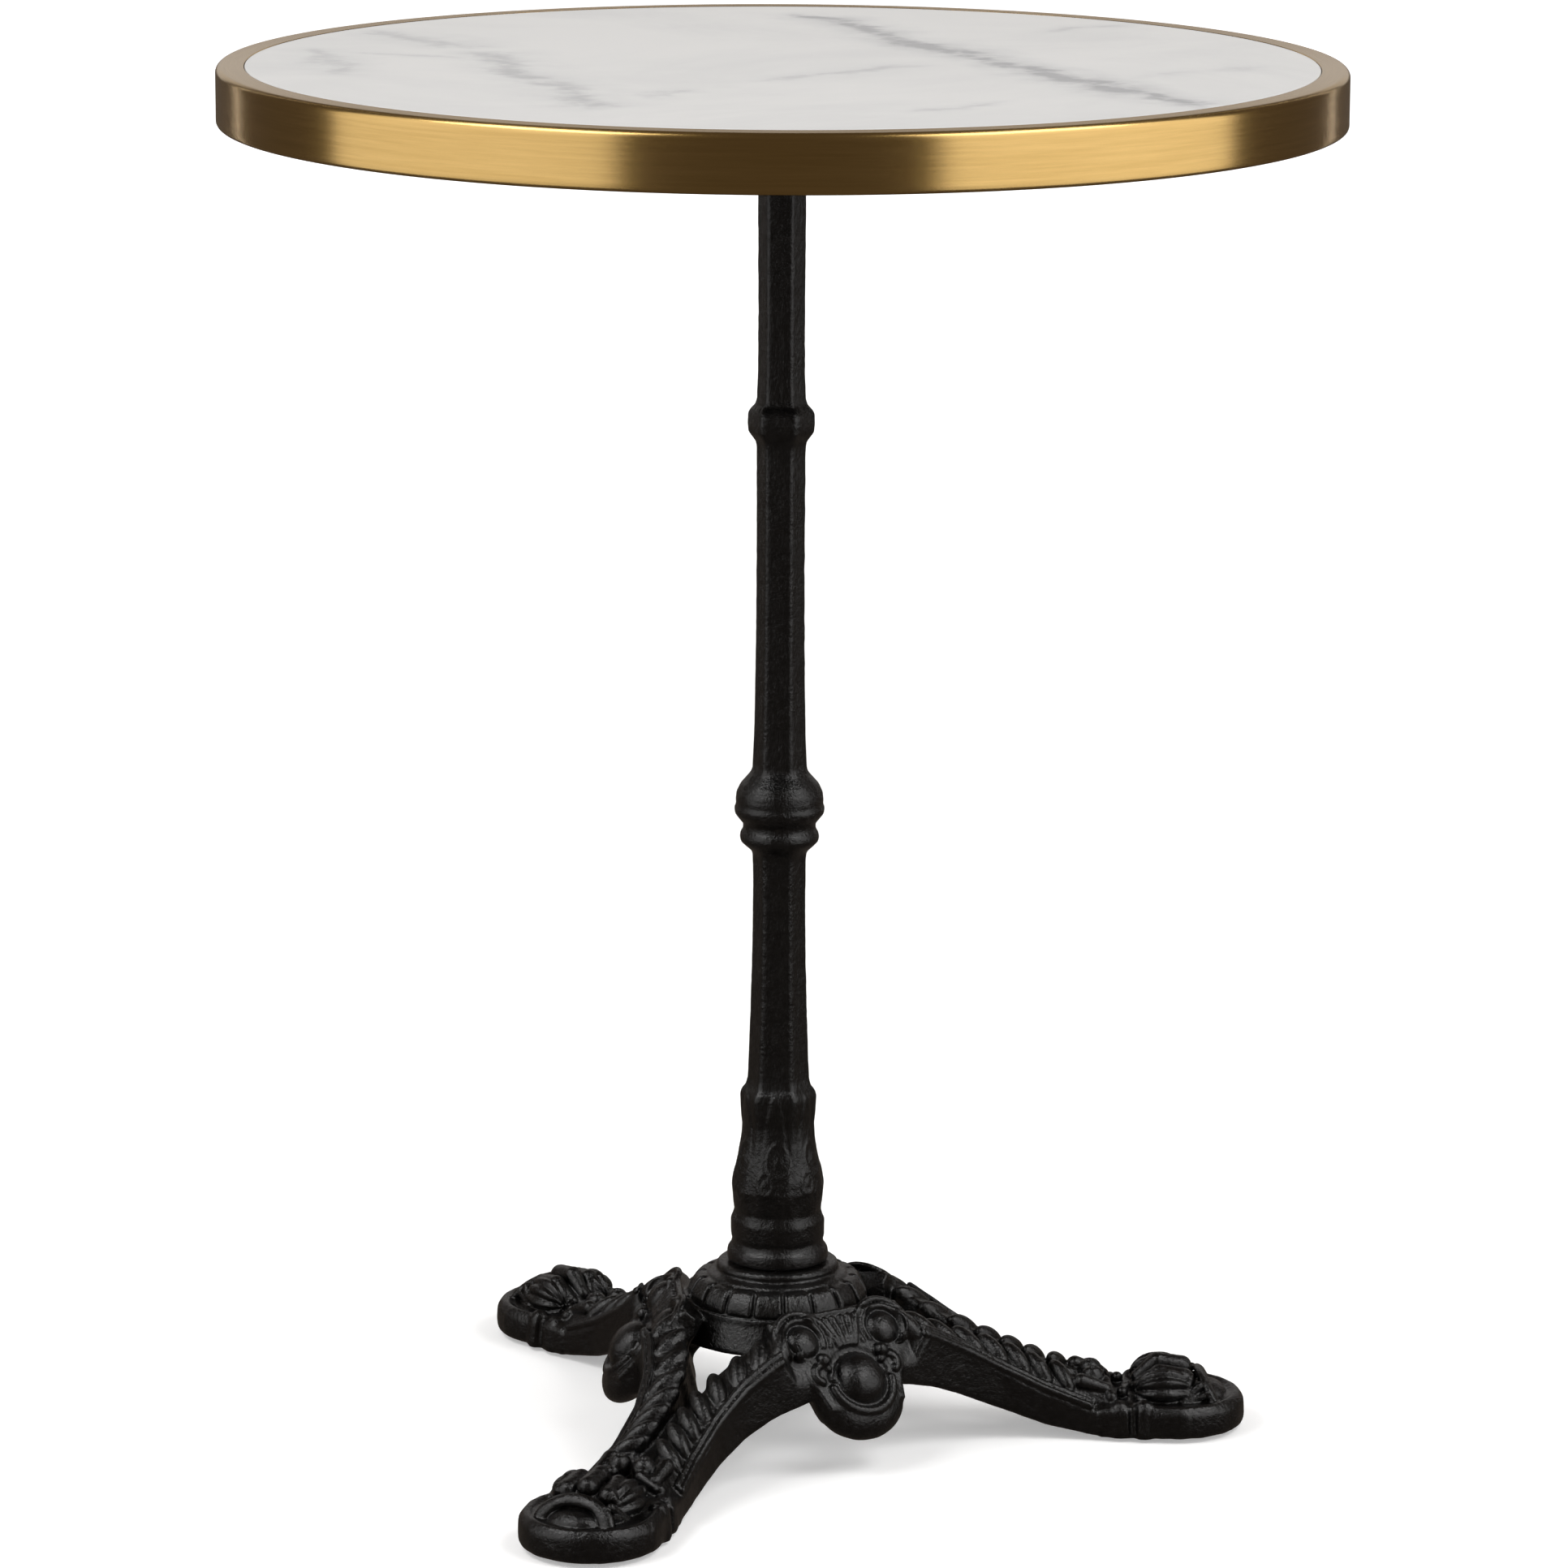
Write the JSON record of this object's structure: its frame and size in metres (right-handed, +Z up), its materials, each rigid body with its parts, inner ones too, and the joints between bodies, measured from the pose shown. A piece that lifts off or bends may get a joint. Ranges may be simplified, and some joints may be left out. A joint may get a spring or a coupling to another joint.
{
  "type": "bistro table",
  "caption": "Round bistro table: a marble top in a deep brass rim on a slender cast-iron column and a scrolled tripod base with levelling glides.",
  "frame": {"origin": "on the floor under the column's axis, at the bottom of the levelling glides", "axes": "+Z up along the column; +X to the viewer's right, with the table seen from -Y; one leg points 4 degrees round from +X"},
  "size_m": [0.57, 0.57, 0.72],
  "materials": {
    "marble": "polished white marble with soft grey veins",
    "board": "fibreboard with a black sealed face",
    "brass_rim": "circumferentially brushed and lacquered",
    "brass_screw": "plain brass, countersunk",
    "cast_iron": "sand cast, painted satin black",
    "steel_fixing": "zinc plated",
    "glide_plastic": "moulded, matt black"
  },
  "bodies": {
    "table": {"marble_top": "marble", "backing_board": "board", "brass_rim": "brass_rim", "rim_screw_1": "brass_screw", "rim_screw_2": "brass_screw", "rim_screw_3": "brass_screw", "rim_screw_4": "brass_screw", "rim_screw_5": "brass_screw", "rim_screw_6": "brass_screw", "top_spider": "cast_iron", "spider_screw_1": "steel_fixing", "spider_screw_2": "steel_fixing", "spider_screw_3": "steel_fixing", "spider_screw_4": "steel_fixing", "column": "cast_iron", "tripod_base": "cast_iron", "tie_rod": "steel_fixing", "upper_washer": "steel_fixing", "upper_nut": "steel_fixing", "lower_washer": "steel_fixing", "lower_nut": "steel_fixing"},
    "glide_1": {"glide_foot_1": "glide_plastic", "glide_stud_1": "steel_fixing"},
    "glide_2": {"glide_foot_2": "glide_plastic", "glide_stud_2": "steel_fixing"},
    "glide_3": {"glide_foot_3": "glide_plastic", "glide_stud_3": "steel_fixing"}
  },
  "joints": [
    {"name": "glide_1_height", "type": "slide", "parent": "table", "child": "glide_1", "axis": [0, 0, -1], "range_m": [0, 0.008]},
    {"name": "glide_2_height", "type": "slide", "parent": "table", "child": "glide_2", "axis": [0, 0, -1], "range_m": [0, 0.008]},
    {"name": "glide_3_height", "type": "slide", "parent": "table", "child": "glide_3", "axis": [0, 0, -1], "range_m": [0, 0.008]}
  ]
}
